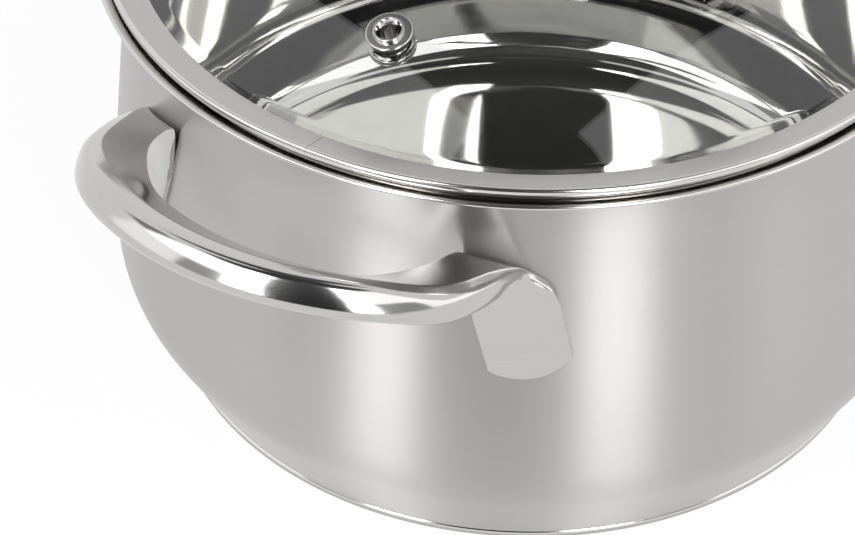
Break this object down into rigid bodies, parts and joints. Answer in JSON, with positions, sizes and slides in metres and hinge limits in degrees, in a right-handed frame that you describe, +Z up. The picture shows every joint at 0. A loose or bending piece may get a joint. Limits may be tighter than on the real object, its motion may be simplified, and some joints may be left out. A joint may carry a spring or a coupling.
{
  "type": "cooking pot",
  "caption": "Stainless steel casserole with a bellied wall, flared pouring lip, capsule base, cast loop handles and a domed glass lid with a steel rim, steam vent and bow handle.",
  "frame": {"origin": "middle of the base's underside, on the surface that the pot stands on", "axes": "+Z up through the lid; +X and -X point out through the middles of the two side handles"},
  "size_m": [0.2902, 0.2162, 0.1811],
  "materials": {
    "satin_steel": "satin outside, mirror polished inside",
    "base_steel": "spun, with a polished edge",
    "rim_steel": "fine satin",
    "polished_steel": "mirror polished",
    "core_aluminium": "plain disc, hidden in the base",
    "lid_glass": "clear tempered glass",
    "silicone": "soft matt"
  },
  "bodies": {
    "pot": {"pot_body": "satin_steel", "base_core": "core_aluminium", "base_cap": "base_steel", "handle_left": "polished_steel", "handle_right": "polished_steel"},
    "lid": {"lid_glass": "lid_glass", "lid_band": "rim_steel", "vent_eyelet": "polished_steel", "vent_gasket": "silicone", "vent_washer": "polished_steel", "lid_handle": "polished_steel", "lid_handle_gasket_front": "silicone", "lid_handle_gasket_back": "silicone", "lid_screw_gasket_front": "silicone", "lid_screw_gasket_back": "silicone", "lid_screw_washer_front": "polished_steel", "lid_screw_washer_back": "polished_steel", "lid_screw_front": "polished_steel", "lid_screw_back": "polished_steel"}
  },
  "joints": [
    {"name": "lid_lift", "type": "slide", "parent": "pot", "child": "lid", "axis": [0, 0, 1], "range_m": [0, 0.2]}
  ]
}
